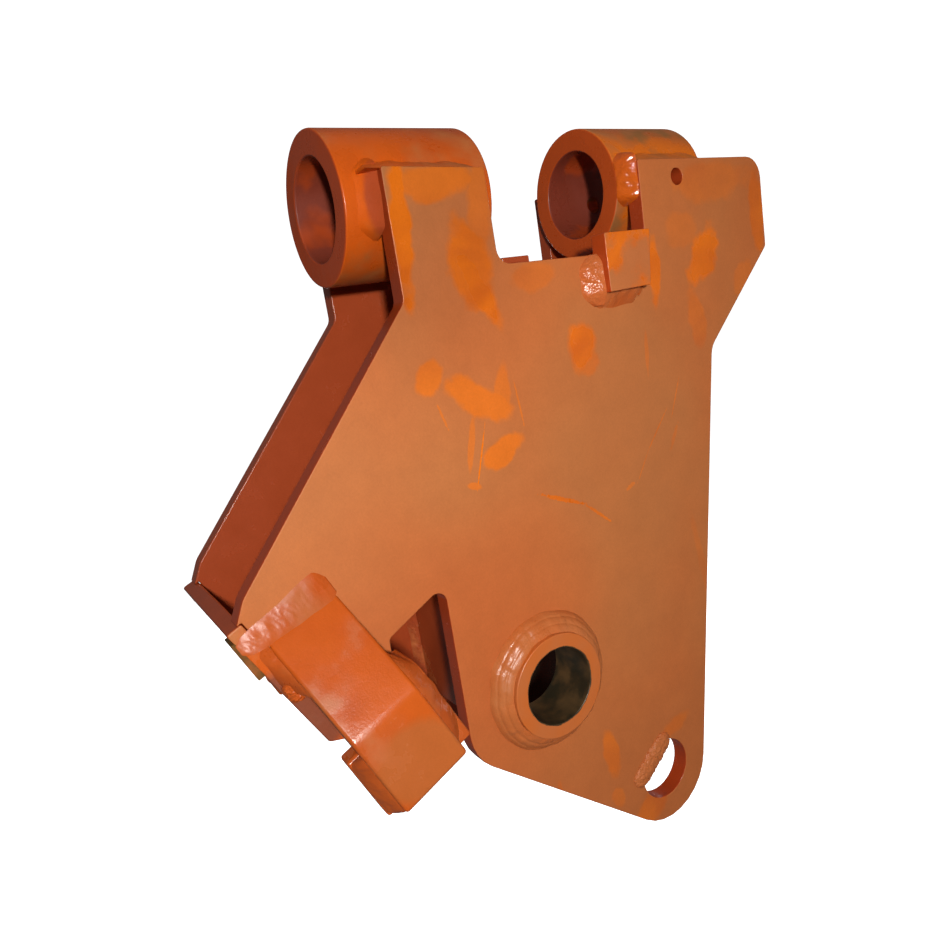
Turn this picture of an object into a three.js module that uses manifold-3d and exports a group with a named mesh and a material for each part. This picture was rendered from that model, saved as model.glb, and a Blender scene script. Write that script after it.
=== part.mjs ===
// Quick coupler, welded body. Millimetres, +X along the top pin, +Y towards the rear side
// plate, +Z up. Origin on the top pin axis, midway between the side plates and the bosses.
import * as THREE from 'three';
import { mergeVertices } from 'three/addons/utils/BufferGeometryUtils.js';
import Module from 'manifold-3d';

const BODY_WIDTH = 114.3;          // over the two side plates
const PLATE = 12.4;                // side plate thickness
const GAP = 0.3;                   // clearance where two pieces meet
const BOSS_OD = 88.9;
const BOSS_ID = 59.6;
const LEFT_BOSS = [-150, -52];     // ends of the left top boss along X
const RIGHT_BOSS = [52, 139];
const LOCK_HOLE = { x: 97, z: -2, r: 5.6 };
const PIVOT = { x: -74.6, z: -314.6, bore: 25.4, outer: 34.9, length: 37, proud: 13.5 };
const PIVOT_WELD_R = 46;
const EYE = { x: 20, z: -428.5, r: 22.5, flat: 11.2, bar: 8, turn: 126.7 * Math.PI / 180 };
const HOOK_CORNER = [-256, -212];  // outer corner of the hook, start of its wall
const HOOK_TILT = 22 * Math.PI / 180;
const WALL = { top: -3, plate: 9.3, lean: 7.2, outer: -6.8, bottom: [84.4, 91.2] };
const EAR = { from: 6, to: 49.3, plate: 12.7, foot: 21, bend: [70, -97], tip: [114, -110] };
const PAD = { from: -1, to: 59, plate: 11, top: 82, bottom: 117.3 };
const GUSSET = { from: 49.7, to: 59, top: 67, reach: -87 };
const STOP = { x: [10.4, 50.7], z: [-73.5, -36.6], out: 12.9 };
const SEAM = { rise: 8.4, drop: [-25, -15], leg: [12.5, 7] };

const HALF = BODY_WIDTH / 2;
const INNER = HALF - PLATE;
const ROUND_STEPS = 6;
const CIRCLE_STEPS = 64;

const wasm = await Module();
wasm.setup();

// Surface finish per family: paint, and the bare bore of the pivot rings.
const PAINT = { color: 0xc0622a, roughness: 0.5, metalness: 0.0 };
const WELD = { color: 0xb9541f, roughness: 0.35, metalness: 0.0 };
const BARE = { color: 0x4a3b30, roughness: 0.55, metalness: 0.6 };

const group = new THREE.Group();
group.name = 'quick_coupler';

function cleaned(geometry) {
  const bare = new THREE.BufferGeometry();
  bare.setAttribute('position', geometry.attributes.position.clone());
  if (geometry.index) bare.setIndex(geometry.index.clone());
  const merged = mergeVertices(bare, 1e-4);
  merged.computeVertexNormals();
  return merged;
}

function add(name, geometry, finish = PAINT) {
  const mesh = new THREE.Mesh(cleaned(geometry), new THREE.MeshStandardMaterial(finish));
  mesh.name = name;
  group.add(mesh);
}

// Outline with rounded corners from [x, y, radius] corners.
function rounded(corners) {
  const points = [];
  const count = corners.length;
  for (let i = 0; i < count; i += 1) {
    const [x, y, radius = 0] = corners[i];
    const here = new THREE.Vector2(x, y);
    const before = corners[(i + count - 1) % count];
    const after = corners[(i + 1) % count];
    const back = new THREE.Vector2(before[0] - x, before[1] - y);
    const ahead = new THREE.Vector2(after[0] - x, after[1] - y);
    if (radius === 0) {
      points.push(here);
      continue;
    }
    back.normalize();
    ahead.normalize();
    const half = Math.acos(THREE.MathUtils.clamp(back.dot(ahead), -1, 1)) / 2;
    const inset = radius / Math.tan(half);
    const toCentre = back.clone().add(ahead).normalize().multiplyScalar(radius / Math.sin(half));
    const centre = here.clone().add(toCentre);
    const start = here.clone().addScaledVector(back, inset).sub(centre);
    const end = here.clone().addScaledVector(ahead, inset).sub(centre);
    const from = start.angle();
    let sweep = end.angle() - from;
    if (sweep > Math.PI) sweep -= 2 * Math.PI;
    if (sweep < -Math.PI) sweep += 2 * Math.PI;
    const steps = Math.max(2, Math.ceil(ROUND_STEPS * Math.abs(sweep) / (Math.PI / 2)));
    for (let k = 0; k <= steps; k += 1) {
      const angle = from + sweep * k / steps;
      points.push(new THREE.Vector2(
        centre.x + radius * Math.cos(angle),
        centre.y + radius * Math.sin(angle)));
    }
  }
  return points;
}

function circleHole(x, y, r) {
  const path = new THREE.Path();
  path.absarc(x, y, r, 0, 2 * Math.PI, true);
  return path;
}

// Outline in the X-Z plane, solid between two Y values.
function slab(outline, y0, y1, holes = []) {
  const shape = new THREE.Shape(outline);
  shape.holes.push(...holes);
  const geometry = new THREE.ExtrudeGeometry(shape, {
    depth: y1 - y0, bevelEnabled: false, curveSegments: CIRCLE_STEPS / 2,
  });
  geometry.rotateX(Math.PI / 2);
  geometry.translate(0, y1, 0);
  return geometry;
}

// Hook frame: s runs up along the hook, h runs down it, y stays the plate normal.
const ALONG = new THREE.Vector3(Math.cos(HOOK_TILT), 0, Math.sin(HOOK_TILT));
const DOWN = new THREE.Vector3(Math.sin(HOOK_TILT), 0, -Math.cos(HOOK_TILT));

function hookPoint(s, h) {
  return [
    HOOK_CORNER[0] + ALONG.x * s + DOWN.x * h,
    HOOK_CORNER[1] + ALONG.z * s + DOWN.z * h,
  ];
}

// Profile in (h, y) of the hook frame, solid between two s values.
function hookSlab(profile, s0, s1) {
  const geometry = new THREE.ExtrudeGeometry(new THREE.Shape(profile), {
    depth: s1 - s0, bevelEnabled: false,
  });
  const [x, z] = hookPoint(s0, 0);
  const frame = new THREE.Matrix4().makeBasis(DOWN, new THREE.Vector3(0, 1, 0), ALONG);
  frame.setPosition(x, 0, z);
  geometry.applyMatrix4(frame);
  return geometry;
}

function ring(inner, outer, from, to) {
  const profile = [
    new THREE.Vector2(inner, from),
    new THREE.Vector2(outer, from),
    new THREE.Vector2(outer, to),
    new THREE.Vector2(inner, to),
    new THREE.Vector2(inner, from),
  ];
  return new THREE.LatheGeometry(profile, CIRCLE_STEPS);
}

function toManifold(geometry) {
  const g = cleaned(geometry);
  return new wasm.Manifold(new wasm.Mesh({
    numProp: 3,
    vertProperties: new Float32Array(g.attributes.position.array),
    triVerts: new Uint32Array(g.index.array),
  }));
}

function fromManifold(solid) {
  const mesh = solid.getMesh();
  const geometry = new THREE.BufferGeometry();
  geometry.setAttribute('position', new THREE.BufferAttribute(
    new Float32Array(mesh.vertProperties), 3));
  geometry.setIndex(new THREE.BufferAttribute(new Uint32Array(mesh.triVerts), 1));
  return geometry;
}

// Side plates: two lobes, a seat notch at the top, the hook finger, a throat and the eye.
const wallInner = WALL.outer + WALL.plate;
const [heelX, heelZ] = hookPoint(-0.3, WALL.top - GAP);
const [fingerX, fingerZ] = hookPoint(wallInner + GAP, WALL.top - GAP);
const [footX, footZ] = hookPoint(wallInner + WALL.lean + GAP, WALL.bottom[1]);

// Direction angles, seen from the middle of the eye, of the ends of a cut across its circle.
function cutAngles(radius, distance) {
  const half = Math.acos(distance / radius);
  return [EYE.turn - half, EYE.turn + half];
}

function eyeArc(radius, from, to, steps) {
  const points = [];
  for (let k = 0; k <= steps; k += 1) {
    const angle = from + (to - from) * k / steps;
    points.push(new THREE.Vector2(
      EYE.x + radius * Math.cos(angle),
      EYE.z + radius * Math.sin(angle)));
  }
  return points;
}
const sideOutline = rounded([
  [-131, 10, 1.5],
  [-131.5, -62, 8],
  [-251.5, -196.5, 14],
  [heelX, heelZ, 0],
  [fingerX, fingerZ, 0],
  [footX, footZ, 2],
  [-178.6, -272.4, 3],
  [-178, -246, 3],
  [-137.6, -226.5, 6.5],
  [-138.4, -343.6, 34],
  [50, -508, 41],
  [117, -123.5, 16],
  [189.2, -56, 5],
  [189.2, 10, 15],
  [60.3, 10, 1.5],
  [59.8, -48.6, 7],
  [-63.8, -47.4, 9],
  [-64.3, 8, 1.5],
]);
for (const [name, side] of [['front_side_plate', -1], ['rear_side_plate', 1]]) {
  const [eyeStart, eyeEnd] = cutAngles(EYE.r, EYE.flat + EYE.bar + GAP);
  const eye = eyeArc(EYE.r, eyeEnd, eyeStart + 2 * Math.PI, 48);
  const holes = [
    circleHole(PIVOT.x, PIVOT.z, PIVOT.outer + GAP),
    new THREE.Path(eye),
    circleHole(LOCK_HOLE.x, LOCK_HOLE.z, LOCK_HOLE.r),
  ];
  const near = side < 0 ? -HALF : INNER;
  add(name, slab(sideOutline, near, near + PLATE, holes));
}

// Top pin bosses lie between the plates, axis along X; the right one is drilled for a keeper.
for (const [name, ends, drilled] of [
  ['left_pin_boss', LEFT_BOSS, false],
  ['right_pin_boss', RIGHT_BOSS, true],
]) {
  const tube = ring(BOSS_ID / 2, BOSS_OD / 2, ends[0], ends[1]);
  tube.rotateZ(-Math.PI / 2);
  if (drilled) {
    const drill = new THREE.CylinderGeometry(LOCK_HOLE.r, LOCK_HOLE.r, BOSS_OD + 20, 24);
    drill.translate(LOCK_HOLE.x, 0, LOCK_HOLE.z);
    add(name, fromManifold(toManifold(tube).subtract(toManifold(drill))));
  } else {
    add(name, tube);
  }
}

// Lower pivot rings pass through the plates, each with a heavy fillet weld around it.
for (const [tag, side] of [['front', -1], ['rear', 1]]) {
  const outerEnd = HALF + PIVOT.proud;
  const rim = ring(PIVOT.bore, PIVOT.outer, outerEnd - PIVOT.length, outerEnd);
  const weldProfile = [
    [PIVOT.outer + GAP, HALF + GAP],
    [PIVOT_WELD_R, HALF + GAP],
    [PIVOT_WELD_R - 1.2, HALF + 2.6],
    [PIVOT_WELD_R - 5, HALF + 6.4],
    [PIVOT.outer + 2.6, HALF + 10.2],
    [PIVOT.outer + GAP, HALF + 10.8],
    [PIVOT.outer + GAP, HALF + GAP],
  ].map(([r, y]) => new THREE.Vector2(r, y));
  const weld = new THREE.LatheGeometry(weldProfile, CIRCLE_STEPS);
  for (const piece of [rim, weld]) {
    if (side < 0) piece.rotateX(Math.PI);
    piece.translate(PIVOT.x, 0, PIVOT.z);
  }
  add(`${tag}_pivot_ring`, rim, BARE);
  add(`${tag}_pivot_weld`, weld, WELD);
}

// Guide ears: a flat bar bent outwards, on a wider backing pad with a gusset to the plate.
function offsetPoint(a, b, c, distance) {
  const u = new THREE.Vector2(b[0] - a[0], b[1] - a[1]).normalize();
  const v = new THREE.Vector2(c[0] - b[0], c[1] - b[1]).normalize();
  const n = new THREE.Vector2(-u.y - v.y, u.x + v.x).normalize();
  const stretch = distance / Math.sqrt((1 + u.dot(v)) / 2);
  return [b[0] + n.x * stretch, b[1] + n.y * stretch];
}

const face = -(HALF + GAP);
const foot = [EAR.foot, face];
const bendBack = offsetPoint(foot, EAR.bend, EAR.tip, EAR.plate);
const tipRun = new THREE.Vector2(EAR.tip[0] - EAR.bend[0], EAR.tip[1] - EAR.bend[1]).normalize();
const tipBack = [EAR.tip[0] - tipRun.y * EAR.plate, EAR.tip[1] + tipRun.x * EAR.plate];
const slope = (EAR.bend[1] - foot[1]) / (EAR.bend[0] - foot[0]);
const heel = [bendBack[0] + (face - bendBack[1]) / slope, face];
const backSlope = tipRun.y / tipRun.x;
const backY = (h) => tipBack[1] + (h - tipBack[0]) * backSlope;
const mirrored = (profile, side) => profile.map(([h, y]) => new THREE.Vector2(h, -side * y));

for (const [tag, side] of [['front', -1], ['rear', 1]]) {
  const bar = rounded([
    [foot[0], foot[1], 0],
    [EAR.bend[0], EAR.bend[1], 9],
    [EAR.tip[0], EAR.tip[1], 1.2],
    [tipBack[0], tipBack[1], 1.2],
    [bendBack[0], bendBack[1], 3],
    [heel[0], heel[1], 0],
  ]).map((p) => [p.x, p.y]);
  add(`${tag}_guide_ear`, hookSlab(mirrored(bar, side), EAR.from, EAR.to));

  const lift = PAD.plate / Math.hypot(1, backSlope);
  const padTop = backY(PAD.top) + GAP;
  const padEnd = backY(PAD.bottom) + GAP;
  const pad = [
    [PAD.top, padTop],
    [PAD.bottom, padEnd],
    [PAD.bottom, padEnd + lift],
    [PAD.top, padTop + lift],
  ];
  add(`${tag}_ear_pad`, hookSlab(mirrored(pad, side), PAD.from, PAD.to));

  const gusset = rounded([
    [GUSSET.top, face, 0],
    [GUSSET.top, GUSSET.reach, 10],
    [PAD.top - GAP, GUSSET.reach - 1, 0],
    [PAD.top - GAP, face, 0],
  ]).map((p) => [p.x, p.y]);
  add(`${tag}_ear_gusset`, hookSlab(mirrored(gusset, side), GUSSET.from, GUSSET.to));

  const rootY = (h) => face + (h - EAR.foot) * slope;
  const weld = [
    [EAR.foot - 17, face],
    [EAR.foot - 13.5, face - 5.6],
    [EAR.foot - 6, face - 9.6],
    [EAR.foot + 3, face - 10.8],
    [EAR.foot + 13, rootY(EAR.foot + 13) - 1.4],
    [EAR.foot + 15, rootY(EAR.foot + 15) - 0.4],
    [EAR.foot - 0.5, face],
  ];
  add(`${tag}_ear_root_weld`, hookSlab(mirrored(weld, side), EAR.from - 3, EAR.to), WELD);
}

// Hook wall joins both plates along the outer edge of the hook, with a small rest on it.
const outline = (corners) => rounded(corners.map(([s, h, r]) => [...hookPoint(s, h), r]));
add('hook_wall', slab(outline([
  [WALL.outer, WALL.top, 1.5],
  [WALL.outer + WALL.lean, WALL.bottom[0], 3],
  [wallInner + WALL.lean, WALL.bottom[1], 0],
  [wallInner, WALL.top, 0],
]), -HALF, HALF));
add('hook_wall_rest', slab(outline([
  [WALL.outer - 1.4, 3, 0],
  [WALL.outer - 1.0, 28, 0],
  [WALL.outer + 2.2, 28, 0],
  [WALL.outer + 0.14, 3, 0],
]), -HALF, -HALF + 14));

// Flat bar through both plates across the eye, flush with their outer faces.
const [barStart, barEnd] = cutAngles(EYE.r - GAP, EYE.flat);
const [backStart, backEnd] = cutAngles(EYE.r - GAP, EYE.flat + EYE.bar);
add('eye_bar', slab([
  ...eyeArc(EYE.r - GAP, barStart, backStart, 4),
  ...eyeArc(EYE.r - GAP, backEnd, barEnd, 4),
], -HALF, HALF));

// Webs between the plates.
const WEB = INNER - GAP;
const upright = (x0, z0, x1, z1) => rounded([[x0, z0], [x1, z0], [x1, z1], [x0, z1]]);
add('upper_web', slab(upright(-52, -150, -31, -42.5), -WEB, WEB));
add('throat_web', slab(upright(-116.2, -338, -110.2, -160), -WEB, WEB));

// Stop block on the front plate beside the notch.
add('stop_block', slab(rounded([
  [STOP.x[0], STOP.z[0], 1],
  [STOP.x[1] - 4, STOP.z[0] + 1, 1],
  [STOP.x[1], STOP.z[1], 1],
  [STOP.x[0], STOP.z[1], 1],
]), -HALF - GAP - STOP.out, -HALF - GAP));

// Seam welds between the plates and the bosses: one on the plate's top edge, one at its side.
const BOSS_R = BOSS_OD / 2;
const clearance = new THREE.CylinderGeometry(BOSS_R + GAP, BOSS_R + GAP, 420, 96);
clearance.rotateZ(Math.PI / 2);
const bossSpace = toManifold(clearance);
const topZ = 10;
for (const [tag, side] of [['front', -1], ['rear', 1]]) {
  for (const [lobe, edge, end, index] of [
    ['left', -131, -64.3, 0],
    ['right', 60.3, RIGHT_BOSS[1] - 14, 1],
  ]) {
    const crown = [
      [-HALF + 0.8, topZ + GAP],
      [-HALF + 3.4, topZ + 3.2],
      [-HALF + 9.4, topZ + 6.6],
      [-HALF + 16, topZ + SEAM.rise + 0.4],
      [-HALF + 22, topZ + SEAM.rise],
      [-HALF + 22, topZ + GAP],
    ].map(([y, z]) => new THREE.Vector2(-side * y, z));
    const bead = new THREE.ExtrudeGeometry(new THREE.Shape(crown), {
      depth: end - edge, bevelEnabled: false,
    });
    const frame = new THREE.Matrix4().makeBasis(
      new THREE.Vector3(0, 1, 0), new THREE.Vector3(0, 0, 1), new THREE.Vector3(1, 0, 0));
    frame.setPosition(edge, 0, 0);
    bead.applyMatrix4(frame);
    add(`${tag}_${lobe}_boss_top_weld`,
      fromManifold(toManifold(bead).subtract(bossSpace)), WELD);

    const leg = SEAM.leg[index];
    const fillet = [
      [edge - GAP, -HALF + 0.9],
      [edge - GAP - leg * 0.42, -HALF + 4.4],
      [edge - GAP - leg * 0.8, -HALF + 9.4],
      [edge - GAP - leg, -HALF + 13.6],
      [edge - GAP - leg, -HALF + 22],
      [edge - GAP, -HALF + 22],
    ].map(([x, y]) => new THREE.Vector2(x, -side * y));
    const post = new THREE.ExtrudeGeometry(new THREE.Shape(fillet), {
      depth: topZ - 1 - SEAM.drop[index], bevelEnabled: false,
    });
    post.translate(0, 0, SEAM.drop[index]);
    add(`${tag}_${lobe}_boss_side_weld`,
      fromManifold(toManifold(post).subtract(bossSpace)), WELD);
  }
}

export default group;
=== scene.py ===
import math

import bmesh
import bpy
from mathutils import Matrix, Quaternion, Vector, noise


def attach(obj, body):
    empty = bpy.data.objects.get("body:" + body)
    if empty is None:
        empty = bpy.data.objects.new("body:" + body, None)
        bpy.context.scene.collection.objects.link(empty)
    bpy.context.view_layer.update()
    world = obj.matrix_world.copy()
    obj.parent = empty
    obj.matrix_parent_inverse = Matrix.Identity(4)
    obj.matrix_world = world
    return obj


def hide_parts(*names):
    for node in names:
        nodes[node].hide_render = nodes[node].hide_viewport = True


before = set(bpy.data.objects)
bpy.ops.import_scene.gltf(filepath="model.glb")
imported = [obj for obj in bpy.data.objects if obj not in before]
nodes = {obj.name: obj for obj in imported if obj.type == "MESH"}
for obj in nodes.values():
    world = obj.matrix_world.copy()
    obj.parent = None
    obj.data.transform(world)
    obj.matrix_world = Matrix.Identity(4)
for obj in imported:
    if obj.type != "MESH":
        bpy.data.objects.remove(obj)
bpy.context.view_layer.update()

MM = 0.001
scene = bpy.context.scene

# Paint colours, linear
HAZE = (0.455, 0.152, 0.045)
HAZE_WARM = (0.500, 0.138, 0.036)
VIVID = (0.760, 0.165, 0.006)
# a deeper paint hue; also the default painted shade on faces that look away
DEEP = (0.450, 0.062, 0.010)
OLIVE = (0.290, 0.120, 0.030)
# painted shade: the dark red given to faces that look away and to the webs between the plates
INNER_SHADE = (0.330, 0.054, 0.015)
PURPLE = (0.230, 0.042, 0.022)
# painted shadow: near black for a spot on the inside of the rear plate
SHADE_BLACK = (0.012, 0.009, 0.006)

# Sizes and places, millimetres, as in the CAD
HALF = 57.15                                # middle to the outer face of a side plate
BOSS_R = 44.45
BOSS_BORE_R = 29.8
PIVOT = Vector((-74.6, 0.0, -314.6))
PIVOT_BORE_R = 25.4
EYE = Vector((20.0, 0.0, -428.5))
EYE_TURN = math.radians(126.7)              # direction from the eye's middle to its bar
EAR_SIDES = (6.0, 49.3)                     # the ear's edges along the hook
COLLAR_R = 34.8                             # the collar starts just inside the ring's outside
# Origin and directions of the hook's own frame
HOOK = Vector((-256.0, 0.0, -212.0))
TILT = math.radians(22)
ALONG = Vector((math.cos(TILT), 0, math.sin(TILT)))
DOWN = Vector((math.sin(TILT), 0, -math.cos(TILT)))
XAXIS = Vector((1, 0, 0))
YAXIS = Vector((0, 1, 0))
ZAXIS = Vector((0, 0, 1))


# ---------------------------------------------------------------- materials
class Graph:
    """A small helper for building node trees."""

    def __init__(self, name):
        self.material = bpy.data.materials.new(name)
        self.material.use_nodes = True
        self.tree = self.material.node_tree
        self.tree.nodes.clear()
        self.coord = self.add("ShaderNodeTexCoord").outputs["Object"]

    def add(self, kind, **settings):
        node = self.tree.nodes.new(kind)
        for key, value in settings.items():
            setattr(node, key, value)
        return node

    def feed(self, socket, value):
        if isinstance(value, bpy.types.NodeSocket):
            self.tree.links.new(value, socket)
        elif isinstance(value, tuple) and len(value) == 3 and socket.type == "RGBA":
            socket.default_value = (*value, 1.0)
        else:
            socket.default_value = value

    def math(self, operation, a, b=0.0, c=None, clamp=False):
        node = self.add("ShaderNodeMath", operation=operation, use_clamp=clamp)
        self.feed(node.inputs[0], a)
        self.feed(node.inputs[1], b)
        if c is not None:
            self.feed(node.inputs[2], c)
        return node.outputs[0]

    def noise(self, scale, detail=3.0, rough=0.5, vector=None, distortion=0.0):
        node = self.add("ShaderNodeTexNoise")
        self.feed(node.inputs["Vector"], vector or self.coord)
        node.inputs["Scale"].default_value = scale
        node.inputs["Detail"].default_value = detail
        node.inputs["Roughness"].default_value = rough
        node.inputs["Distortion"].default_value = distortion
        return node.outputs["Fac"]

    def ramp(self, value, low, high, to_low=0.0, to_high=1.0):
        node = self.add("ShaderNodeMapRange", interpolation_type="SMOOTHSTEP")
        self.feed(node.inputs["Value"], value)
        node.inputs["From Min"].default_value = low
        node.inputs["From Max"].default_value = high
        node.inputs["To Min"].default_value = to_low
        node.inputs["To Max"].default_value = to_high
        return node.outputs["Result"]

    def mix(self, factor, a, b):
        node = self.add("ShaderNodeMix", data_type="RGBA")
        self.feed(node.inputs["Factor"], factor)
        self.feed(node.inputs["A"], a)
        self.feed(node.inputs["B"], b)
        return node.outputs["Result"]

    def mapped(self, location=(0, 0, 0), rotation=(0, 0, 0), scale=(1, 1, 1), kind="TEXTURE",
               after=None):
        """Object coordinates in another frame. after: a value to be worked out first, which keeps
        the number of values that the renderer holds at once small."""
        vector = self.coord
        if after is not None:
            chain = self.add("ShaderNodeVectorMath", operation="MULTIPLY_ADD")
            self.feed(chain.inputs[0], after)
            chain.inputs[1].default_value = (1e-9, 1e-9, 1e-9)
            self.feed(chain.inputs[2], self.coord)
            vector = chain.outputs[0]
        node = self.add("ShaderNodeMapping", vector_type=kind)
        self.feed(node.inputs["Vector"], vector)
        node.inputs["Location"].default_value = location
        node.inputs["Rotation"].default_value = rotation
        node.inputs["Scale"].default_value = scale
        return node.outputs[0]

    def length(self, vector):
        node = self.add("ShaderNodeVectorMath", operation="LENGTH")
        self.feed(node.inputs[0], vector)
        return node.outputs["Value"]

    def split(self, vector):
        node = self.add("ShaderNodeSeparateXYZ")
        self.feed(node.inputs[0], vector)
        return node.outputs

    def normal(self, axis):
        """One component of the face's own normal."""
        geometry = self.add("ShaderNodeNewGeometry")
        return self.split(geometry.outputs["True Normal"])[axis]

    def hypotenuse(self, a, b):
        return self.math("SQRT", self.math("ADD", self.math("MULTIPLY", a, a),
                                           self.math("MULTIPLY", b, b)))

    def finish(self, color, roughness, height, bump=0.3, distance=0.001, specular=0.5):
        bsdf = self.add("ShaderNodeBsdfPrincipled")
        out = self.add("ShaderNodeOutputMaterial")
        self.feed(bsdf.inputs["Base Color"], color)
        self.feed(bsdf.inputs["Roughness"], roughness)
        bsdf.inputs["Specular IOR Level"].default_value = specular
        node = self.add("ShaderNodeBump")
        node.inputs["Strength"].default_value = bump
        node.inputs["Distance"].default_value = distance
        self.feed(node.inputs["Height"], height)
        self.feed(bsdf.inputs["Normal"], node.outputs[0])
        self.feed(out.inputs["Surface"], bsdf.outputs[0])
        return self.material


# Rubbed spots on the front plate: x, z, half width, half height, turn in degrees, strength
SPOTS = [
    (-125, -22, 6.5, 42, -4, 1.0),
    (-101, 0, 27, 10, 6, 0.75),
    (-72, -14, 9, 26, -15, 0.55),
    (-84, -48, 15, 28, 8, 0.9),
    (-80, -62, 8, 27, 25, 1.0),
    (-41, -57, 18, 9, 4, 0.45),
    (-9, -103, 12, 18, -8, 1.0),
    (-3, -117, 9, 8, 30, 0.6),
    (-123, -104, 8, 12, -35, 0.7),
    (-93, -123, 25, 10, -36, 0.72),
    (-76, -122, 6, 19, -10, 0.55),
    (-83, -158, 17, 8, 22, 0.75),
    (-104, -152, 2.6, 17, -14, 0.5),
    (-106, -174, 6, 2.6, -20, 0.6),
    (117, -57, 14, 25, -35, 1.0),
    (103, -100, 9, 22, 6, 0.5),
    (65, -62, 6.5, 24, -3, 1.0),
    (49, -119, 1.8, 17, -4, 0.45),
    (28, -57, 10, 8, 40, 0.5),
    (132, -6, 42, 14, 4, 0.40),
    (-30, -392, 7, 20, 4, 0.6),
    (-29, -428, 6, 9, 20, 0.4),
    (4, -452, 20, 12, 15, 0.6),
    (36, -398, 15, 7, 10, 0.45),
    (-78, -398, 2.5, 9, 0, 0.4),
    (86, -300, 4, 60, 10, 0.25),
    (95, -38, 17, 13, 0, 0.3),
    (182, -32, 9, 30, 0, 0.8),
    (158, -76, 9, 16, -40, 0.4),
]
# Thin drag marks: from x, z to x, z, width, strength
MARKS = [
    ((-58, -192), (-22, -208), 1.5, 0.95),
    ((-24, -207), (-2, -226), 1.1, 0.8),
    ((-66, -117), (-63, -146), 0.7, 0.55),
    ((-92, -140), (-104, -176), 0.6, 1.0),
    ((-122, -120), (-117, -137), 0.8, 0.5),
    ((78, -140), (66, -168), 0.6, 0.6),
    ((62, -160), (40, -185), 0.6, 0.75),
    ((40, -185), (26, -206), 0.5, 0.6),
    ((72, -172), (62, -190), 1.6, 0.4),
    ((24, -204), (15, -208), 1.6, 0.5),
]


def front_marks(g):
    """Mask of the rubbed spots and drag marks on the front plate."""
    wobble = g.math("MULTIPLY_ADD", g.noise(58, 3, 0.55), 1.2, -0.58)
    total = None
    for x, z, rx, rz, turn, strength in SPOTS:
        v = g.mapped((x * MM, -HALF * MM, z * MM), (0, math.radians(-turn), 0),
                     (rx * MM, 1.0, rz * MM), after=total)
        d = g.math("ADD", g.length(v), wobble)
        m = g.ramp(d, 1.16, 0.76, 0.0, strength)
        total = m if total is None else g.math("MAXIMUM", total, m)
    fine = g.math("MULTIPLY_ADD", g.noise(420, 2, 0.6), 1.6, -0.8)
    for a, b, width, strength in MARKS:
        dx, dz = b[0] - a[0], b[1] - a[1]
        v = g.mapped(((a[0] + b[0]) / 2 * MM, -HALF * MM, (a[1] + b[1]) / 2 * MM),
                     (0, -math.atan2(dz, dx), 0),
                     (math.hypot(dx, dz) / 2 * MM, 1.0, width * MM), after=total)
        d = g.math("ADD", g.length(v), fine)
        total = g.math("MAXIMUM", total, g.ramp(d, 1.1, 0.8, 0.0, strength))
    return total


def patches(g, broad, medium, haze, soft):
    """Mask of dull overspray lying in patches."""
    level = g.math("ADD", broad, g.math("MULTIPLY_ADD", medium, 0.5, -0.25))
    cut = 0.75 - 0.5 * haze
    spread = 0.015 + 0.15 * soft
    return g.ramp(level, cut - spread, cut + spread)


def front_haze(g, warm):
    """The front plate's overspray is more saturated low down and at the left."""
    low = g.ramp(g.split(g.coord)[2], -0.24, -0.42, 0.0, 0.45)
    warm = g.mix(low, warm, (0.470, 0.112, 0.028))
    left = g.length(g.mapped((-0.16, -0.057, -0.28), scale=(0.12, 1.0, 0.10)))
    return g.mix(g.ramp(left, 1.3, 0.4, 0.0, 0.6), warm, (0.470, 0.108, 0.026))


def tube_paint(g, color, bore, ends, patch_and_shade):
    """A boss along X: its cut ends take the colour ends, a painted shade darker than its sides, and
    its bore thin purplish paint.
    """
    sideways = g.math("ABSOLUTE", g.normal(0))
    color = g.mix(g.ramp(sideways, 0.6, 0.9), color, ends)
    x, y, z = g.split(g.coord)
    inside = g.ramp(g.hypotenuse(y, z), bore * MM + 0.0008, bore * MM + 0.0003)
    thin = g.mix(g.ramp(g.noise(26, 3, 0.5), 0.52, 0.66, 0.0, 0.8), PURPLE, patch_and_shade)
    return g.mix(inside, color, thin)


def spotted(g, color, medium, spot_at, spot_color):
    """A spot of another colour with a ragged edge: painted shade on the rear plate, side seam and
    hook wall, a patch of overspray on the ear.
    """
    spot = g.mapped(tuple(v * MM for v in spot_at[:3]), scale=tuple(v * MM for v in spot_at[3:]))
    near = g.math("ADD", g.length(spot), g.math("MULTIPLY_ADD", medium, 0.4, -0.2))
    return g.mix(g.ramp(near, 1.15, 0.8), color, spot_color)


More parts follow.
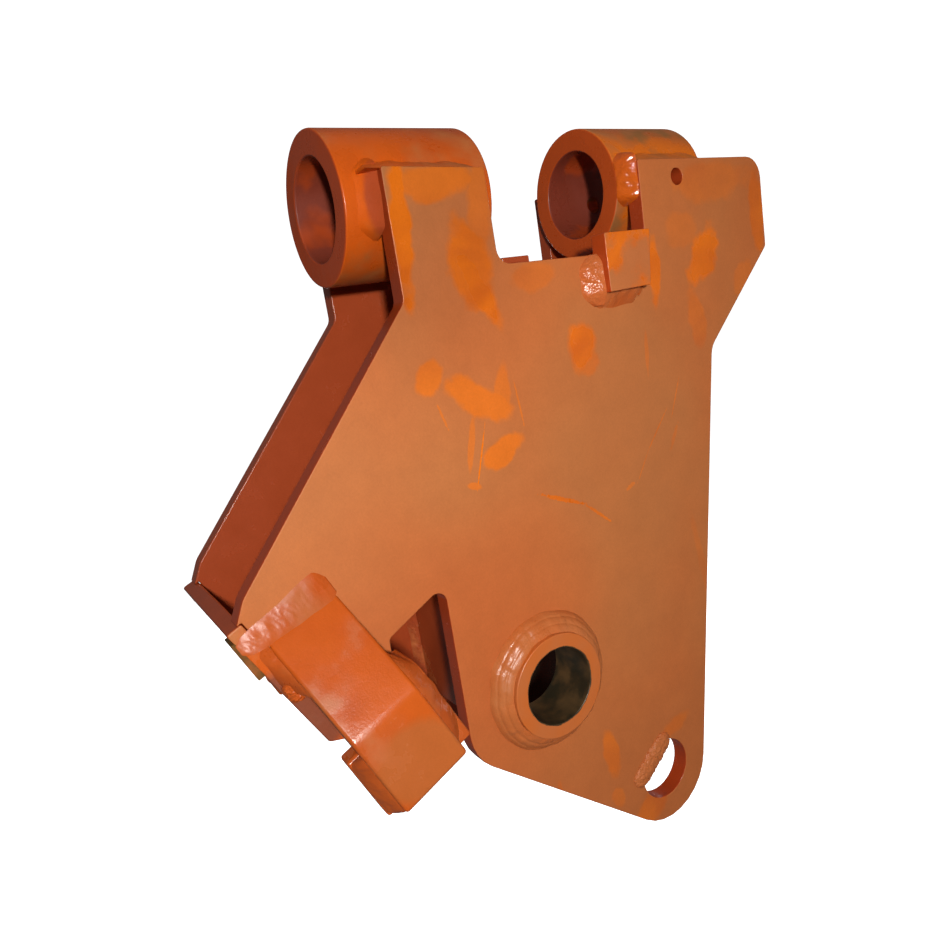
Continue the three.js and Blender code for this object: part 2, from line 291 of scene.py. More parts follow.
def paint(name, haze=0.5, soft=0.5, marks=False, facing=None, gloss=0.2, olive=0.0, fresh=VIVID,
          patch_and_shade=DEEP, seed=0.0, bore=None, ends=DEEP, spot_at=None, spot_color=SHADE_BLACK, bump=0.35,
          tone=1.0, shine=0.42, beads=0.0):
    """Sprayed orange enamel.

    haze: how much dull overspray lies on it; soft: how gradual its patches are; marks: it is the
    front plate, with its rubbed spots and painted shade on its left lobe; facing: the axis and
    sign of the side it lies on, with painted shade in the colour patch_and_shade on all other
    faces; gloss: roughness where there is no overspray; olive: share of olive thin spots; fresh
    and patch_and_shade: the clean paint, and its darker patches as well as the painted shade of
    faces that look away; bore and ends: a boss's bore radius and the painted shade colour of its
    cut ends; spot_at and spot_color: middle and half widths of a spot of another colour and
    that colour, painted shade or a patch of overspray; tone: a factor on the brightness; shine:
    strength of the highlights; beads: height of small beads that catch the light.
    """
    g = Graph(name)
    shifted = g.mapped(location=(seed, seed * 0.7, -seed), kind="POINT")
    broad = g.noise(14, 3, 0.5, shifted, 0.6)
    medium = g.noise(60, 4, 0.6, shifted)
    fine = g.noise(900, 2, 0.6)
    grain = g.noise(2600, 1, 0.5)

    if marks:
        haze_mask = g.math("MULTIPLY", g.math("SUBTRACT", 1.0, front_marks(g)), haze)
    else:
        haze_mask = patches(g, broad, medium, haze, soft)
    base = fresh
    if facing is not None:
        axis, sign = facing
        outward = g.ramp(g.math("MULTIPLY", g.normal(axis), sign), 0.6, 0.9)
        haze_mask = g.math("MULTIPLY", haze_mask, outward)
        # painted shade: faces other than the one the piece lies on take the darker colour
        base = g.mix(outward, patch_and_shade, fresh)
    warm = g.mix(g.ramp(g.noise(6, 2, 0.5, shifted), 0.35, 0.65), HAZE, HAZE_WARM)
    if marks:
        warm = front_haze(g, warm)
    if olive:
        warm = g.mix(g.ramp(g.noise(22, 3, 0.6, shifted), 0.48, 0.62, 0.0, olive), warm, OLIVE)
    base = g.mix(g.ramp(broad, 0.35, 0.7, 0.0, 0.55), base, patch_and_shade)
    color = g.mix(haze_mask, base, warm)
    if bore:
        color = tube_paint(g, color, bore, ends, patch_and_shade)
    # a spot of another colour: painted shade on most pieces, a patch of overspray on the ear
    if spot_at:
        color = spotted(g, color, medium, spot_at, spot_color)

    shade = g.math("MULTIPLY_ADD", medium, 0.22 * tone, 0.89 * tone)
    shade = g.math("MULTIPLY", shade, g.math("MULTIPLY_ADD", fine, 0.20, 0.90))
    if marks:
        # painted shade: the left lobe is a little darker
        lobe = g.length(g.mapped((-0.115, -0.057, 0.0), scale=(0.075, 1.0, 0.10)))
        shade = g.math("MULTIPLY", shade, g.ramp(lobe, 0.5, 1.4, 0.76, 1.0))
    node = g.add("ShaderNodeVectorMath", operation="SCALE")
    g.feed(node.inputs[0], color)
    g.feed(node.inputs["Scale"], shade)

    rough = g.math("MULTIPLY_ADD", haze_mask, 0.30, gloss)
    rough = g.math("ADD", rough, g.math("MULTIPLY_ADD", medium, 0.10, -0.05), clamp=True)
    height = g.math("MULTIPLY", fine, 0.35)
    height = g.math("ADD", height, g.math("MULTIPLY", medium, 0.9))
    height = g.math("ADD", height, g.math("MULTIPLY", grain, g.math("MULTIPLY", haze_mask, 0.16)))
    if beads:
        height = g.math("ADD", height, g.math("MULTIPLY", g.noise(300, 2, 0.5), beads))
    return g.finish(node.outputs[0], rough, height, bump=bump, distance=0.0006, specular=shine)


def bare_bore(name):
    """Machined bore, dark and oily, painted only on the end that stands out of the plate."""
    g = Graph(name)
    shifted = g.mapped(location=tuple(-PIVOT * MM), kind="POINT")
    x, y, z = g.split(shifted)
    radius = g.hypotenuse(x, z)
    ragged = g.math("ADD", radius, g.math("MULTIPLY_ADD", g.noise(160, 3), 0.0016, -0.0008))
    rim = PIVOT_BORE_R * MM + 0.0006
    outside = g.ramp(ragged, rim, rim + 0.0006)
    # the rings' inner ends between the plates take the dark steel colour too: partly bare steel,
    # partly painted shade of the deep inside
    depth = g.math("ABSOLUTE", g.split(g.coord)[1])
    outside = g.math("MULTIPLY", outside, g.ramp(depth, 0.050, 0.055))
    rings = g.add("ShaderNodeTexWave", wave_type="BANDS", bands_direction="Y")
    g.feed(rings.inputs["Vector"], g.coord)
    rings.inputs["Scale"].default_value = 260
    rings.inputs["Distortion"].default_value = 1.5
    blotch = g.noise(70, 4, 0.6)
    steel = g.mix(g.ramp(blotch, 0.35, 0.7), (0.026, 0.021, 0.011), (0.105, 0.058, 0.022))
    coat = g.mix(g.ramp(g.noise(30, 3), 0.35, 0.75), HAZE_WARM, (0.56, 0.120, 0.012))
    color = g.mix(outside, steel, coat)
    rough = g.math("MULTIPLY_ADD", blotch, 0.35, 0.22)
    height = g.math("MULTIPLY_ADD", rings.outputs["Fac"], 0.25, blotch)
    return g.finish(color, rough, height, bump=0.25, distance=0.0004)


# painted shade: the front plate's edges and inner face take a darker red, and its left lobe is
# darkened
mat_front = paint("front_plate_paint", haze=0.97, marks=True, facing=(1, -1.0), gloss=0.26,
                  patch_and_shade=(0.370, 0.048, 0.010), shine=0.32)
# painted shade: the rear plate's inner face and edges take the dark inner red, and a near black
# painted shadow lies on its inner face between the pivot and the eye
mat_rear = paint("rear_plate_paint", haze=0.80, soft=0.35, facing=(1, 1.0), gloss=0.26, seed=3.1,
                 patch_and_shade=INNER_SHADE, spot_at=(-18, 44, -362, 62, 9, 56))
LEFT_TUBE = dict(haze=0.34, soft=0.9, olive=0.8, seed=1.7, tone=0.86, fresh=(0.62, 0.100, 0.006))
RIGHT_TUBE = dict(haze=0.50, soft=0.7, olive=0.8, seed=4.9, tone=0.92)
# painted shade: the cut ends of the bosses are a darker red than their sides
mat_left_boss = paint("left_boss_paint", gloss=0.28, bore=BOSS_BORE_R, ends=(0.470, 0.064, 0.012),
                      shine=0.3, **LEFT_TUBE)
mat_right_boss = paint("right_boss_paint", gloss=0.24, bore=BOSS_BORE_R, ends=(0.540, 0.078, 0.008),
                       **RIGHT_TUBE)
mat_left_seam = paint("left_seam_paint", gloss=0.36, shine=0.15, bump=0.4, **LEFT_TUBE)
mat_right_seam = paint("right_seam_paint", gloss=0.34, shine=0.2, bump=0.4, **RIGHT_TUBE)
# painted shade: a darker red spot on the front left side seam, next to the plate's edge
mat_side_seam = paint("side_seam_paint", gloss=0.5, shine=0.04, bump=0.4,
                      spot_at=(-130, -51, -6, 9, 14, 22), spot_color=(0.400, 0.066, 0.018), **LEFT_TUBE)
mat_ear = paint("ear_paint", haze=0.14, soft=1.3, gloss=0.21, shine=0.34,
                spot_at=(-192, -105, -294, 26, 20, 20), spot_color=(0.490, 0.122, 0.026), seed=2.3,
                tone=0.82, fresh=(0.60, 0.105, 0.010))
mat_pad = paint("pad_paint", haze=0.20, soft=1.2, gloss=0.24, seed=4.4, tone=0.85,
                fresh=(0.50, 0.095, 0.014))
mat_deep = paint("inner_paint", haze=0.10, soft=0.6, gloss=0.24, seed=6.0, fresh=DEEP,
                 patch_and_shade=INNER_SHADE)
# painted shade: the webs and the seam between the plates are painted in the dark inner red
mat_web_shade = paint("web_shade_paint", haze=0.06, soft=0.6, gloss=0.22, seed=7.3, fresh=INNER_SHADE,
                  patch_and_shade=INNER_SHADE)
# painted shade: the hook wall's faces other than its front take the dark inner red, and a dark
# brown painted shade lies on its front low down, near the rest
mat_wall = paint("wall_paint", haze=0.34, soft=0.4, gloss=0.24, seed=5.6, facing=(1, -1.0),
                 spot_at=(-236, -57, -266, 30, 20, 30), spot_color=(0.250, 0.070, 0.036),
                 patch_and_shade=INNER_SHADE, fresh=(0.60, 0.105, 0.010))
# painted shade: the small rest is painted near black olive, the shade it lies in
mat_rest_shade = paint("rest_shade_paint", haze=0.5, soft=0.5, gloss=0.35, seed=1.2, olive=1.0,
                 fresh=(0.120, 0.075, 0.022), patch_and_shade=(0.090, 0.052, 0.018), tone=0.7,
                 shine=0.08)
# painted shade: the stop block's faces other than its front take the deep red
mat_stop = paint("stop_paint", haze=0.44, soft=0.35, gloss=0.24, facing=(1, -1.0), seed=8.8)
mat_weld = paint("weld_paint", haze=0.40, soft=1.0, gloss=0.10, seed=9.1, bump=0.5,
                 fresh=(0.56, 0.120, 0.020))
mat_collar = paint("collar_paint", haze=0.62, soft=2.4, gloss=0.14, seed=9.1, bump=0.5, beads=1.2,
                   fresh=(0.53, 0.125, 0.026))
mat_weld_ear = paint("ear_weld_paint", haze=0.22, soft=1.4, gloss=0.27, seed=5.2, bump=0.3,
                     beads=0.3, tone=0.84, shine=0.22, fresh=(0.58, 0.105, 0.014))
mat_weld_stop = paint("stop_weld_paint", haze=0.55, soft=1.4, gloss=0.10, seed=7.7, bump=0.6,
                      beads=2.5, fresh=(0.56, 0.125, 0.030))
mat_weld_gloss = paint("gloss_weld_paint", haze=0.02, soft=0.4, gloss=0.08, seed=3.3, bump=0.5,
                       fresh=(0.60, 0.110, 0.008), beads=2.2, shine=0.5)
mat_weld_grain = paint("grain_weld_paint", haze=0.5, soft=1.2, gloss=0.22, seed=4.1, bump=0.9,
                       fresh=(0.60, 0.120, 0.025), beads=3.0)
mat_bore = bare_bore("pivot_bore")


# ---------------------------------------------------------------- mesh helpers
def finished(name, bm, material, angle=40):
    """Turn a bmesh into a named piece that rides the body and has its slot."""
    mesh = bpy.data.meshes.new(name)
    bm.normal_update()
    bm.to_mesh(mesh)
    bm.free()
    for polygon in mesh.polygons:
        polygon.use_smooth = True
    mesh.set_sharp_from_angle(angle=math.radians(angle))
    mesh.materials.append(material)
    obj = bpy.data.objects.new(name, mesh)
    scene.collection.objects.link(obj)
    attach(obj, "root")
    return obj


def softened(node, width, material, segments=2, shape=None):
    """A CAD piece with its cut edges rounded as thick paint leaves them. shape: a mesh to round
    in place of a copy of the CAD one."""
    bm = shape or bmesh.new()
    if shape is None:
        bm.from_mesh(nodes[node].data)
    bmesh.ops.remove_doubles(bm, verts=bm.verts, dist=0.00001)
    bmesh.ops.dissolve_degenerate(bm, edges=bm.edges, dist=0.000005)
    bmesh.ops.dissolve_limit(bm, angle_limit=math.radians(0.3), verts=bm.verts, edges=bm.edges)
    edges = [e for e in bm.edges if e.is_manifold and e.calc_face_angle(0) > math.radians(35)]
    bmesh.ops.bevel(bm, geom=edges, offset=width * MM, segments=segments, profile=0.5,
                    affect="EDGES", clamp_overlap=False)
    obj = finished("paint_" + node, bm, material, angle=50)
    weighted = obj.modifiers.new("flat_faces", "WEIGHTED_NORMAL")
    weighted.keep_sharp = True
    weighted.weight = 100
    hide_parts(node)
    return obj


def close_prism(bm, ends):
    """Make the faces of a prism between two matching rings of vertices."""
    bm.faces.new(ends[0])
    bm.faces.new(reversed(ends[1]))
    for i in range(len(ends[0])):
        j = (i + 1) % len(ends[0])
        bm.faces.new((ends[0][i], ends[1][i], ends[1][j], ends[0][j]))
    bmesh.ops.recalc_face_normals(bm, faces=bm.faces)


def prism(profile, s0, s1, side):
    """A bar of constant section in the hook's frame; profile holds (h, distance out) pairs."""
    bm = bmesh.new()
    ends = [[bm.verts.new(hook(s, h, side * y) * MM) for h, y in profile] for s in (s0, s1)]
    close_prism(bm, ends)
    return bm


def bead(name, corners, a_dirs, b_dirs, a_legs, b_legs, bulge, ripple, pitch, lump, rough, seed,
         material, lump_a=None, replaces=(), passes=1, closed=False):
    """A fillet weld: at each corner point an uneven skin between its two legs.

    bulge: how far the skin stands out, as a share of the shorter leg; ripple and pitch: height
    and spacing of its ribs; lump and lump_a: unevenness of both legs and of the first;
    rough: lumps on the skin; passes: runs laid side by side; closed: it meets itself.
    """
    count = len(corners)
    across = 16 if passes == 1 else 24          # faces across the skin
    if lump_a is None:
        lump_a = lump
    total = sum((corners[i + 1] - corners[i]).length for i in range(count - 1))
    bm = bmesh.new()
    rows = []
    run = 0.0
    for i in range(count):
        c = corners[i]
        if i:
            run += (c - corners[i - 1]).length
        a, b = a_dirs[i], b_dirs[i]
        normal = (a + b).normalized()
        # noise is read round a circle so that a closed bead meets itself
        turn = 2 * math.pi * run / (total + 1e-9)
        if closed:
            at = Vector((math.cos(turn), math.sin(turn), 0)) * total / (2 * math.pi)
        else:
            at = Vector((run, 0, 0))
        wob_a = noise.noise(at * 0.09 + Vector((seed, 0, 1.7))) * lump_a
        wob_b = noise.noise(at * 0.11 + Vector((seed + 9, 0, 4.1))) * lump
        la = max(0.3, a_legs[i] + wob_a)
        lb = max(0.3, b_legs[i] + wob_b)
        size = min(la, lb)
        row = [bm.verts.new((c - normal * 0.4) * MM)]
        for k in range(across + 1):
            t = k / across
            base = c + a * la * (1 - t) + b * lb * t
            arch = math.sin(math.pi * t) ** 0.75
            if passes > 1:
                arch *= 0.70 + 0.30 * abs(math.sin(math.pi * passes * t)) ** 0.5
            phase = 2 * math.pi * run / pitch + 2.2 * math.sin(math.pi * t)
            phase += 5.0 * noise.noise(at * 0.10 + Vector((0, seed, 0)))
            swell = 0.5 + noise.noise(at * 0.16 + Vector((seed, 5, t)))
            rib = ripple * math.cos(phase) * math.sin(math.pi * t) * swell
            lumpy = rough * (noise.noise(at * 0.22 + Vector((seed * 3, t * 1.4, 0)))
                             + 0.5 * noise.noise(at * 0.6 + Vector((seed * 5, t * 4, 0))))
            row.append(bm.verts.new((base + normal * (size * bulge * arch + rib + lumpy * arch))
                                    * MM))
        rows.append(row)
    for i in range(count if closed else count - 1):
        r0, r1 = rows[i], rows[(i + 1) % count]
        width = len(r0)
        for k in range(width):
            k2 = (k + 1) % width
            bm.faces.new((r0[k], r1[k], r1[k2], r0[k2]))
    if not closed:
        bm.faces.new(list(reversed(rows[0])))
        bm.faces.new(rows[-1])
    bmesh.ops.recalc_face_normals(bm, faces=bm.faces)
    obj = finished(name, bm, material, angle=70)
    if replaces:
        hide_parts(*replaces)
    return obj


def slug(name, start, end, side, across, proud, deep, seed, material):
    """A lumpy bar of weld metal with round ends. side and across: the direction it is wide in and
    its half width; proud and deep: how far it goes out from its middle line and in."""
    axis = end - start
    length = axis.length
    out = Vector((0, math.copysign(1, start.y), 0))
    bm = bmesh.new()
    rows = []
    rings, spokes = 70, 40
    for i in range(rings + 1):
        u = -1 + 2 * i / rings
        end_round = math.sqrt(max(0.0, 1 - abs(u) ** 5))
        centre = start.lerp(end, i / rings)
        row = []
        for k in range(spokes):
            angle = 2 * math.pi * k / spokes
            ca, sa = math.cos(angle), math.sin(angle)
            reach = proud if sa > 0 else deep
            point = centre + side * across * ca * end_round + out * reach * sa * end_round
            grit = noise.noise(point * 0.55 + Vector((seed, 0, 0))) * 1.0
            grit += noise.noise(point * 1.6 + Vector((0, seed, 0))) * 0.6
            row.append(bm.verts.new((point + (side * ca + out * sa) * grit * end_round) * MM))
        rows.append(row)
    for i in range(rings):
        for k in range(spokes):
            k2 = (k + 1) % spokes
            bm.faces.new((rows[i][k], rows[i + 1][k], rows[i + 1][k2], rows[i][k2]))
    bmesh.ops.remove_doubles(bm, verts=bm.verts, dist=0.00001)
    bmesh.ops.holes_fill(bm, edges=[e for e in bm.edges if e.is_boundary])
    bmesh.ops.recalc_face_normals(bm, faces=bm.faces)
    return finished(name, bm, material, angle=80)


def straight(start, end, step=0.7):
    """Evenly spaced points on a line."""
    n = max(2, int((end - start).length / step))
    return [start.lerp(end, i / n) for i in range(n + 1)]


def tapered(count, full, low, reach=0.12):
    """A leg's length along a bead, falling to the share low of it at both ends."""
    legs = []
    for i in range(count):
        t = i / (count - 1)
        share = 1.0
        if t < reach:
            share = low + (1 - low) * math.sin(math.pi / 2 * t / reach)
        if t > 1 - reach:
            share = low + (1 - low) * math.sin(math.pi / 2 * (1 - t) / reach)
        legs.append(full * share)
    return legs


def hook(s, h, y):
    """A point in the hook's own frame: s along its wall's slope, h down from its corner."""
    return HOOK + ALONG * s + DOWN * h + YAXIS * y


# ---------------------------------------------------------------- plates, bosses, hook
def ear_section(radius=17.0, steps=8):
    """Section of a guide ear: its root merges with the weld above it, and it has a wide bend."""
    root, knee, tip = Vector((12.5, 57.3)), Vector((70.0, 97.0)), Vector((114.0, 110.0))
    back = [(117.6, 97.8), (76.0, 85.5), (41.1, 57.3)]
    u, v = (knee - root).normalized(), (tip - knee).normalized()
    half = math.acos(u.dot(v)) / 2
    inward = (v - u).normalized()
    middle = knee + inward * radius / math.cos(half)
    arc = []
    for i in range(steps + 1):
        swing = -half + 2 * half * i / steps
        spoke = Vector((-inward.x * math.cos(swing) + inward.y * math.sin(swing),
                        -inward.x * math.sin(swing) - inward.y * math.cos(swing)))
        arc.append(tuple(middle + spoke * radius))
    if (Vector(arc[0]) - root).length > (Vector(arc[-1]) - root).length:
        arc.reverse()
    return [tuple(root), *arc, tuple(tip), *back]


def rest_block():
    """The small rest, carried into the hook wall so that no light shows between them."""
    section = ((-8.2, 3), (-7.8, 28), (-3.6, 28), (-5.8, 3))
    bm = bmesh.new()
    ends = [[bm.verts.new(hook(s, h, y) * MM) for s, h in section] for y in (-57.1, -43.2)]
    close_prism(bm, ends)
    return bm


softened("front_side_plate", 0.8, mat_front)
softened("rear_side_plate", 0.8, mat_rear)
softened("left_pin_boss", 1.3, mat_left_boss)
softened("right_pin_boss", 1.3, mat_right_boss)
softened("front_pivot_ring", 0.8, mat_bore)
softened("rear_pivot_ring", 0.8, mat_bore)
for tag, sign in (("front", -1), ("rear", 1)):
    softened(f"{tag}_guide_ear", 2.2, mat_ear, segments=4,
             shape=prism(ear_section(), *EAR_SIDES, sign))
    softened(f"{tag}_ear_pad", 1.6, mat_pad, segments=3)
    softened(f"{tag}_ear_gusset", 1.2, mat_pad)
softened("hook_wall", 1.2, mat_wall)
softened("hook_wall_rest", 0.4, mat_rest_shade, shape=rest_block())
softened("upper_web", 0.8, mat_web_shade)
softened("throat_web", 0.8, mat_web_shade)
softened("eye_bar", 0.6, mat_deep)
softened("stop_block", 0.7, mat_stop)


# ---------------------------------------------------------------- welds
def pivot_collar(tag, sign, turns=200):
    """The heavy fillet round a pivot ring, laid in three passes."""
    angles = [2 * math.pi * i / turns for i in range(turns)]
    radials = [Vector((math.cos(angle), 0, math.sin(angle))) for angle in angles]
    middle = PIVOT + YAXIS * sign * HALF
    bead(f"{tag}_pivot_collar", [middle + radial * COLLAR_R for radial in radials], radials,
         [YAXIS * sign] * turns, [11.9] * turns, [10.6] * turns, bulge=0.17, ripple=0.12,
         pitch=5.5, lump=1.2, rough=0.45, seed=3 + sign, passes=3, closed=True,
         material=mat_collar, replaces=(f"{tag}_pivot_weld",))


def boss_top_seam(tag, sign, lobe, x0, x1, z0, z1):
    """The weld from the top edge of a plate's lobe to the boss behind it."""
    left = lobe == "left"
    inside = sign * 44.3                        # just inside the plate's inner face
    path = straight(Vector((x0, inside, z0)), Vector((x1, inside, z1)))
    n = len(path)
    bead(f"{tag}_{lobe}_boss_top_seam", path, [YAXIS * sign] * n,
         [Vector((0, -sign * 0.34, 0.94))] * n, [12.6] * n,
         tapered(n, 7.6 if left else 8.6, 0.2, reach=0.12), bulge=0.10, ripple=0.08, pitch=5.5,
         lump=1.2, lump_a=0.0, rough=0.4, seed=11 + sign,
         material=mat_left_seam if left else mat_right_seam,
         replaces=(f"{tag}_{lobe}_boss_top_weld",))


def boss_side_seam(tag, sign, lobe, x, bottom, share, leg, look):
    """The weld down the outer edge of a lobe, on the round of the boss. share: how much of the
    step from boss to plate face it fills; leg: how far it spreads on the boss."""
    top, steps = 18, 79
    heights = [top + (bottom - top) * i / steps for i in range(steps + 1)]
    path = [Vector((x, sign * math.sqrt(BOSS_R ** 2 - z * z), z)) for z in heights]
    n = len(path)
    fill = tapered(n, share, 0.2, reach=0.14)
    a_legs = [(HALF - abs(point.y) - 0.8) * f for point, f in zip(path, fill)]
    bead(f"{tag}_{lobe}_boss_side_seam", path, [YAXIS * sign] * n, [-XAXIS] * n, a_legs,
         tapered(n, leg, 0.2, reach=0.2), pitch=6.0, seed=21 + sign,
         replaces=(f"{tag}_{lobe}_boss_side_weld",), **look)


def boss_seams(tag, sign):
    """Both lobes' welds; the rear one beside the right boss is kept small, out of sight."""
    smooth = dict(bulge=-0.08, ripple=0.02, lump=1.2, rough=0.25, material=mat_side_seam)
    ribbed = dict(bulge=0.12, ripple=0.25, lump=1.0, rough=0.9, material=mat_weld_gloss)
    front = sign < 0
    boss_top_seam(tag, sign, "left", -140, -66, 9.2, 7.4)
    boss_side_seam(tag, sign, "left", -131, -25, 0.66, 11, smooth)
    boss_top_seam(tag, sign, "right", 58.3 if front else 64.3, 128, 9.2, 9.2)
    boss_side_seam(tag, sign, "right", 60.3, -17 if front else -4, 0.95 if front else 0.3,
                   8.5 if front else 0.6, ribbed)


def ear_root_seam(tag, sign, steps=90):
    """The weld between the plate and the top of the ear, growing towards the notch."""
    slope = (DOWN * 60.5 + YAXIS * sign * 39.7).normalized()
    n = steps + 1
    path = [hook(-6.4 + 56.9 * i / steps, 7.0 + 5.5 * i / steps, sign * HALF) for i in range(n)]
    ends = tapered(n, 1.0, 0.5, reach=0.1)
    rise = [(4.5 + 9.5 * i / steps) * ends[i] for i in range(n)]
    spill = [7.0 * end for end in ends]
    bead(f"{tag}_ear_root_seam", path, [-DOWN] * n, [slope] * n, rise, spill, bulge=0.05,
         ripple=0.02, pitch=5.5, lump=0.9, rough=0.35, seed=31 + sign, material=mat_weld_ear,
         replaces=(f"{tag}_ear_root_weld",))


def ear_side_seam(tag, sign, steps=70):
    """The weld down the ear's left edge, ending in a blob."""
    first, length = 14, 32
    drops = [first + length * i / steps for i in range(steps + 1)]
    n = len(drops)
    b_legs = [max(3.0, 1.6 + 0.807 * (drop - 21)) for drop in drops]
    b_legs = [b * f for b, f in zip(b_legs, tapered(n, 1.0, 0.7, reach=0.06))]
    bead(f"{tag}_ear_side_seam", [hook(6.2, drop, sign * HALF) for drop in drops], [-ALONG] * n,
         [YAXIS * sign] * n, tapered(n, 7.0, 0.5, reach=0.15), b_legs, bulge=0.10, ripple=0.05,
         pitch=5.0, lump=0.8, rough=0.25, seed=41 + sign, material=mat_weld_ear)
    blob = hook(3.4, 45.5, sign * (HALF + 3.5))
    slug(f"{tag}_ear_side_blob", blob - DOWN * 9, blob + DOWN * 4.5, ALONG, 5.6, 5.0, 4.0,
         47 + sign, mat_weld_ear)


def ear_pad_seams(tag, sign):
    """The welds between the ear and its backing pad, at both edges of the ear."""
    out = YAXIS * sign
    tip_run = (DOWN * 44 + out * 13).normalized()
    tip_out = (out * 44 - DOWN * 13).normalized()
    start = hook(6.2, 83, sign * 87.6)
    left = straight(start, start + tip_run * 36)
    # the right one follows the outside of the bend
    knee = hook(49.2, 78, sign * 88.0)
    right = straight(hook(49.2, 55, sign * 76), knee) + straight(knee, knee + tip_run * 37)[1:]
    low, high = len(left), len(right)
    common = dict(bulge=0.10, ripple=0.05, pitch=5.0, lump=1.4, rough=0.45, material=mat_pad)
    bead(f"{tag}_ear_pad_left_seam", left, [-ALONG] * low, [tip_out] * low,
         tapered(low, 7.0, 0.6), tapered(low, 10.5, 0.75), seed=51 + sign, **common)
    bead(f"{tag}_ear_pad_right_seam", right, [ALONG] * high, [tip_out] * high,
         tapered(high, 9.5, 0.15, reach=0.3), tapered(high, 9.5, 0.4, reach=0.2),
         seed=94.2 + sign, **common)


def stop_block_seams():
    """The welds on three sides of the stop block."""
    for name, start, end, outward, a_leg, b_leg, look in (
            ("left", (10.6, -48), (11.0, -81), -XAXIS, (13, 0.3, 0.35), (9.0, 0.4, 0.3),
             dict(bulge=0.12, ripple=0.12, pitch=6.5, lump=2.0, rough=0.8, seed=61,
                  material=mat_weld_stop)),
            ("lower", (5, -73.0), (47.5, -72.2), -ZAXIS, (10.5, 0.3, 0.16), (7.5, 0.4, 0.12),
             dict(bulge=0.02, ripple=0.06, pitch=6.0, lump=1.5, rough=0.5, seed=67,
                  material=mat_weld)),
            ("right", (50.2, -40), (46.6, -78), XAXIS, (6.0, 0.3, 0.2), (6.0, 0.3, 0.2),
             dict(bulge=0.05, ripple=0.15, pitch=5.0, lump=1.5, rough=0.7, seed=69,
                  material=mat_weld))):
        path = straight(Vector((start[0], -HALF, start[1])), Vector((end[0], -HALF, end[1])))
        n = len(path)
        bead(f"stop_block_{name}_seam", path, [outward] * n, [-YAXIS] * n,
             tapered(n, a_leg[0], a_leg[1], reach=a_leg[2]),
             tapered(n, b_leg[0], b_leg[1], reach=b_leg[2]), **look)


def eye_bar_bead(tag, sign):
    """Weld metal over the end of the eye bar, spilling a little into the eye."""
    normal = Vector((math.cos(EYE_TURN), 0, math.sin(EYE_TURN)))
    run = Vector((math.sin(EYE_TURN), 0, -math.cos(EYE_TURN)))
    middle = EYE + normal * 18.4 + YAXIS * sign * HALF
    slug(f"{tag}_eye_bar_bead", middle - run * 25, middle + run * 21, normal, 8.0, 3.0, 5.5,
         71, mat_weld_grain)


def throat_inner_seam():
    """The seam of the throat web on the rear plate, seen through the notch."""
    path = straight(Vector((-116.4, 44.6, -236)), Vector((-116.4, 44.6, -337)))
    n = len(path)
    bead("throat_inner_seam", path, [-XAXIS] * n, [-YAXIS] * n, tapered(n, 6, 0.3),
         tapered(n, 6, 0.3), bulge=0.05, ripple=0.12, pitch=5.0, lump=1.2, rough=0.6, seed=81,
         material=mat_web_shade)


for tag, sign in (("front", -1), ("rear", 1)):
    pivot_collar(tag, sign)
    boss_seams(tag, sign)
    ear_root_seam(tag, sign)
    ear_side_seam(tag, sign)
    ear_pad_seams(tag, sign)
stop_block_seams()
for tag, sign in (("front", -1), ("rear", 1)):
    eye_bar_bead(tag, sign)
throat_inner_seam()


# ---------------------------------------------------------------- stage, light, camera
def stage_material(name, color, glow):
    """Matt white that glows a little, so that the stage stays white behind the part."""
    g = Graph(name)
    bsdf = g.add("ShaderNodeBsdfPrincipled")
    out = g.add("ShaderNodeOutputMaterial")
    tone = g.mix(g.noise(0.4, 2), color, tuple(c * 0.995 for c in color))
    g.feed(bsdf.inputs["Base Color"], tone)
    bsdf.inputs["Roughness"].default_value = 0.9
    g.feed(bsdf.inputs["Emission Color"], (1.0, 1.0, 1.0))
    bsdf.inputs["Emission Strength"].default_value = glow
    g.feed(out.inputs["Surface"], bsdf.outputs[0])
    return g.material


def stage_piece(name, bm, color, glow):
    """A piece of the stage that only the camera sees: it neither lights nor shades the part."""
    mesh = bpy.data.meshes.new(name)
    bm.to_mesh(mesh)
    bm.free()
    mesh.materials.append(stage_material(name + "_white", color, glow))
    obj = bpy.data.objects.new(name, mesh)
    scene.collection.objects.link(obj)
    obj.visible_diffuse = False
    obj.visible_glossy = False
    obj.visible_shadow = False
    return obj


bm = bmesh.new()
bmesh.ops.create_uvsphere(bm, u_segments=64, v_segments=32, radius=7.0)
bmesh.ops.reverse_faces(bm, faces=bm.faces)
backdrop = stage_piece("backdrop", bm, (0.9, 0.9, 0.9), 1.05)

bm = bmesh.new()
bmesh.ops.create_circle(bm, cap_ends=True, segments=96, radius=6.9)
floor = stage_piece("floor", bm, (0.88, 0.88, 0.88), 1.02)
floor.location = (0, 0, -0.78)

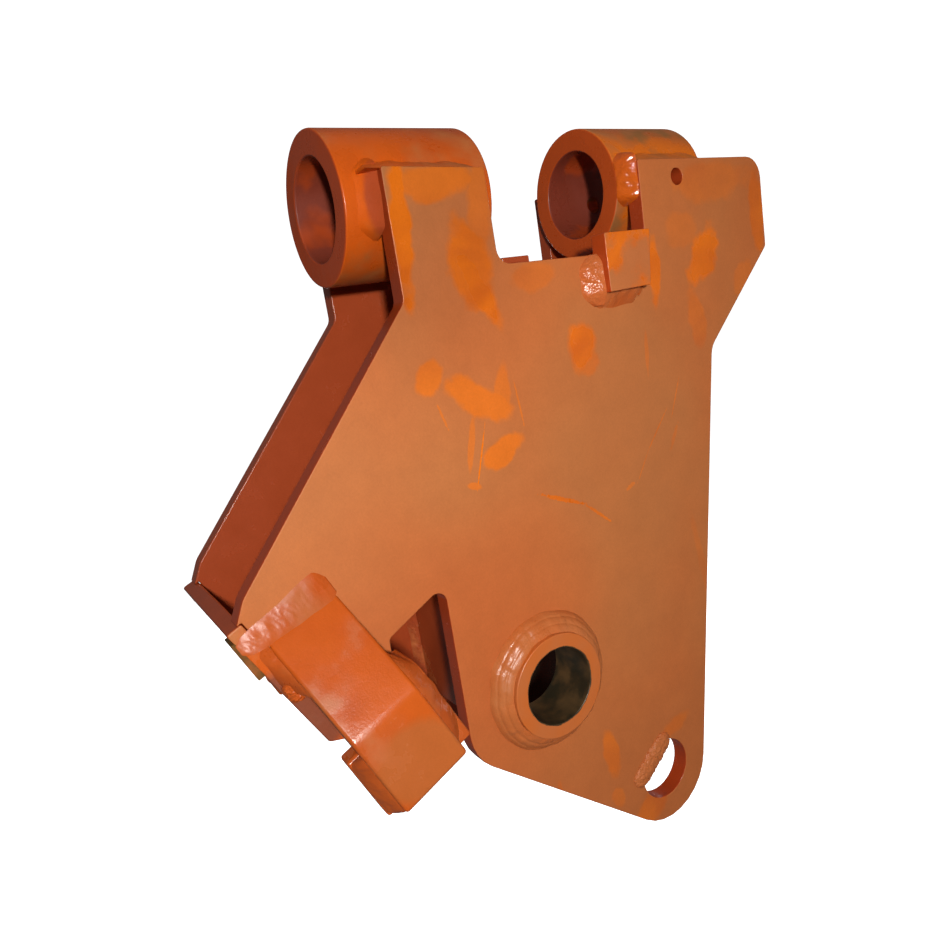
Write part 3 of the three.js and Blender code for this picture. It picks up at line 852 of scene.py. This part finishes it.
world = bpy.data.worlds.new("studio")
world.use_nodes = True
background = world.node_tree.nodes["Background"]
background.inputs["Color"].default_value = (1.0, 0.98, 0.96, 1.0)
background.inputs["Strength"].default_value = 0.10
scene.world = world

# The camera as fitted to the photo: place, direction and roll
camera_data = bpy.data.cameras.new("camera")
camera_data.sensor_width = 36.0
camera_data.lens = 27.2
camera = bpy.data.objects.new("camera", camera_data)
scene.collection.objects.link(camera)
azimuth, elevation, roll = math.radians(30.89), math.radians(11.37), math.radians(-9.39)
look = Vector((math.sin(azimuth) * math.cos(elevation), math.cos(azimuth) * math.cos(elevation),
               -math.sin(elevation)))
camera.location = (-0.3214, -0.4201, -0.0823)
camera.rotation_mode = "QUATERNION"
camera.rotation_quaternion = look.to_track_quat("-Z", "Y") @ Quaternion((0, 0, 1), roll)
camera_data.clip_start = 0.01
scene.camera = camera


def area_light(name, location, target, size, energy, color=(1, 1, 1), glossy=True):
    """A round light aimed at a point. glossy: whether it shows in highlights."""
    data = bpy.data.lights.new(name, "AREA")
    data.shape = "DISK"
    data.size = size
    data.energy = energy
    data.color = color
    light = bpy.data.objects.new(name, data)
    light.location = location
    direction = Vector(target) - Vector(location)
    light.rotation_mode = "QUATERNION"
    light.rotation_quaternion = direction.to_track_quat("-Z", "Y")
    light.visible_glossy = glossy
    scene.collection.objects.link(light)


# A small hard key light near the camera, as from a flash, and soft fills around
centre = (0.02, 0.0, -0.24)
area_light("key", (-0.408, -0.712, -0.010), centre, 0.05, 6.4, (1.0, 0.965, 0.92))
area_light("fill_front", (1.0, -1.1, -0.25), (0.05, 0, -0.25), 0.7, 2.2, (1.0, 0.97, 0.94),
           glossy=False)
area_light("fill_right", (1.7, 0.5, 0.0), centre, 0.9, 9.0)
area_light("fill_back", (0.5, 1.7, -0.25), centre, 1.3, 13.0, glossy=False)
area_light("gleam_back", (0.5, 1.7, -0.25), centre, 0.4, 3.0)
area_light("fill_top", (0.35, 0.45, 1.9), centre, 1.0, 9.0, glossy=False)
area_light("fill_low", (0.3, 0.9, -1.5), centre, 1.0, 7.0, glossy=False)

scene.view_settings.view_transform = "Standard"
scene.view_settings.look = "None"
